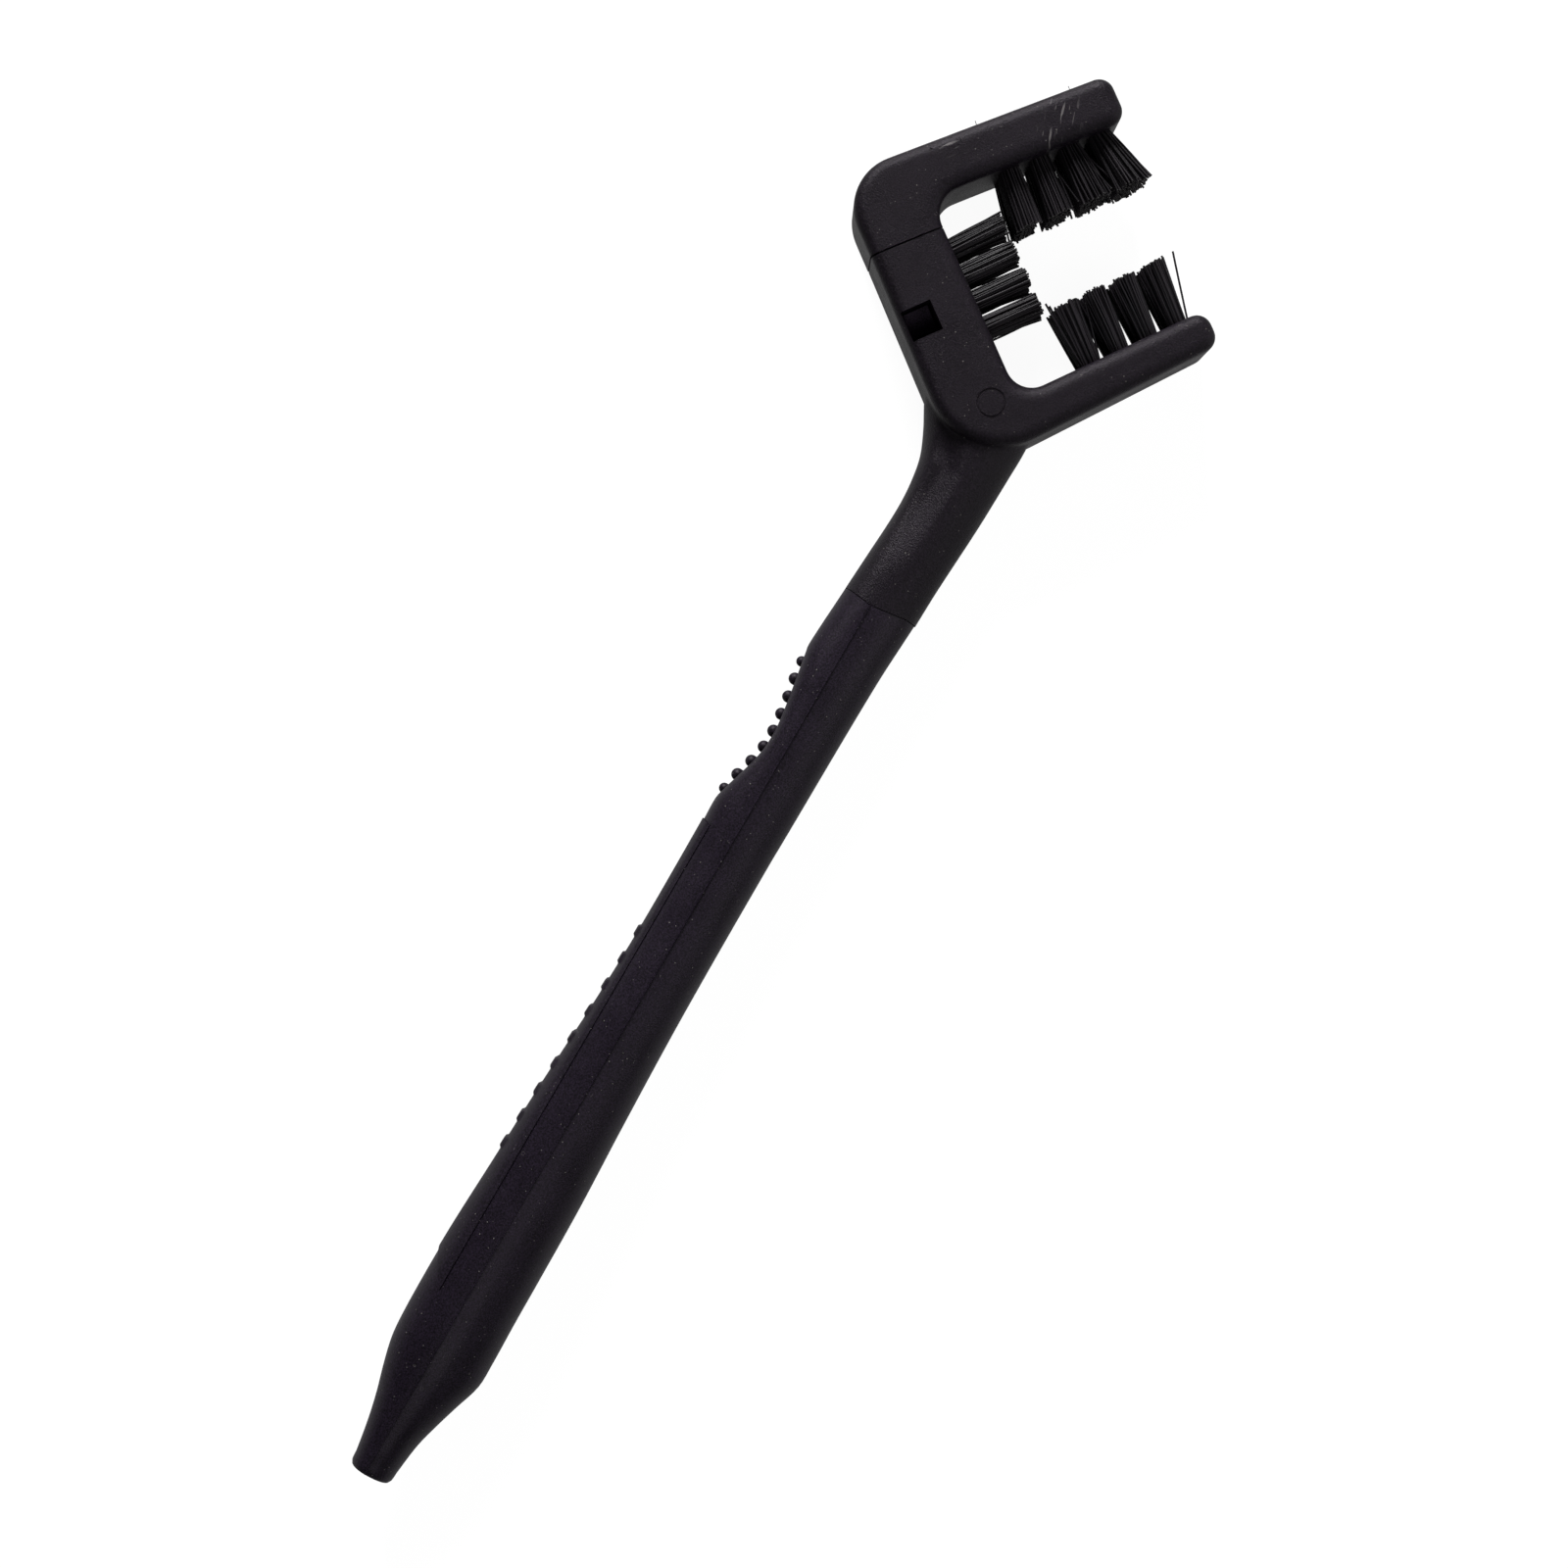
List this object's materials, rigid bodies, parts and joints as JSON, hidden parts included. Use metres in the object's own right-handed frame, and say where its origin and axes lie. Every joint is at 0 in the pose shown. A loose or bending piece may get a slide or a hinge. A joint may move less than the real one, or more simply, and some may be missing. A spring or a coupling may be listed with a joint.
{
  "type": "chain cleaning brush",
  "caption": "Long-handled bicycle chain brush with a C-shaped head, bristles on three sides of its gap, a removable upper jaw, a thumb scoop with nubs and a soft side grip.",
  "frame": {"origin": "on the head's flat back face, where the handle's axis meets the corner of the head", "axes": "+X along the handle towards the head, +Y towards the thumb side, +Z out of the head's front face"},
  "size_m": [0.2609, 0.0639, 0.02],
  "materials": {
    "head_plastic": "fine spark texture, black",
    "handle_plastic": "satin black",
    "grip_rubber": "soft matte black",
    "bristle_nylon": "black nylon filament"
  },
  "bodies": {
    "brush": {"head_frame": "head_plastic", "handle_thumb_shell": "handle_plastic", "handle_heel_shell": "handle_plastic", "thumb_pad": "grip_rubber", "grip_panel": "grip_rubber", "web_tuft_front_1": "bristle_nylon", "web_tuft_front_2": "bristle_nylon", "web_tuft_front_3": "bristle_nylon", "web_tuft_front_4": "bristle_nylon", "web_tuft_middle_1": "bristle_nylon", "web_tuft_middle_2": "bristle_nylon", "web_tuft_middle_3": "bristle_nylon", "web_tuft_middle_4": "bristle_nylon", "web_tuft_back_1": "bristle_nylon", "web_tuft_back_2": "bristle_nylon", "web_tuft_back_3": "bristle_nylon", "web_tuft_back_4": "bristle_nylon", "lower_tuft_front_1": "bristle_nylon", "lower_tuft_front_2": "bristle_nylon", "lower_tuft_front_3": "bristle_nylon", "lower_tuft_front_4": "bristle_nylon", "lower_tuft_middle_1": "bristle_nylon", "lower_tuft_middle_2": "bristle_nylon", "lower_tuft_middle_3": "bristle_nylon", "lower_tuft_middle_4": "bristle_nylon", "lower_tuft_back_1": "bristle_nylon", "lower_tuft_back_2": "bristle_nylon", "lower_tuft_back_3": "bristle_nylon", "lower_tuft_back_4": "bristle_nylon"},
    "snap_arm": {"snap_arm": "head_plastic", "upper_tuft_front_1": "bristle_nylon", "upper_tuft_front_2": "bristle_nylon", "upper_tuft_front_3": "bristle_nylon", "upper_tuft_front_4": "bristle_nylon", "upper_tuft_middle_1": "bristle_nylon", "upper_tuft_middle_2": "bristle_nylon", "upper_tuft_middle_3": "bristle_nylon", "upper_tuft_middle_4": "bristle_nylon", "upper_tuft_back_1": "bristle_nylon", "upper_tuft_back_2": "bristle_nylon", "upper_tuft_back_3": "bristle_nylon", "upper_tuft_back_4": "bristle_nylon"},
    "latch": {"latch_finger": "head_plastic"}
  },
  "joints": [
    {"name": "arm_slide", "type": "slide", "parent": "brush", "child": "snap_arm", "axis": [0.585, 0.8111, 0], "range_m": [0, 0.022], "deforming": ["latch_finger"]},
    {"name": "latch_press", "type": "hinge", "parent": "snap_arm", "child": "latch", "pos_m": [0.0114, 0.02384, 0.0132], "axis": [0.8111, -0.585, 0], "range_deg": [0, 18], "stiffness_Nm_per_rad": 0.05}
  ]
}
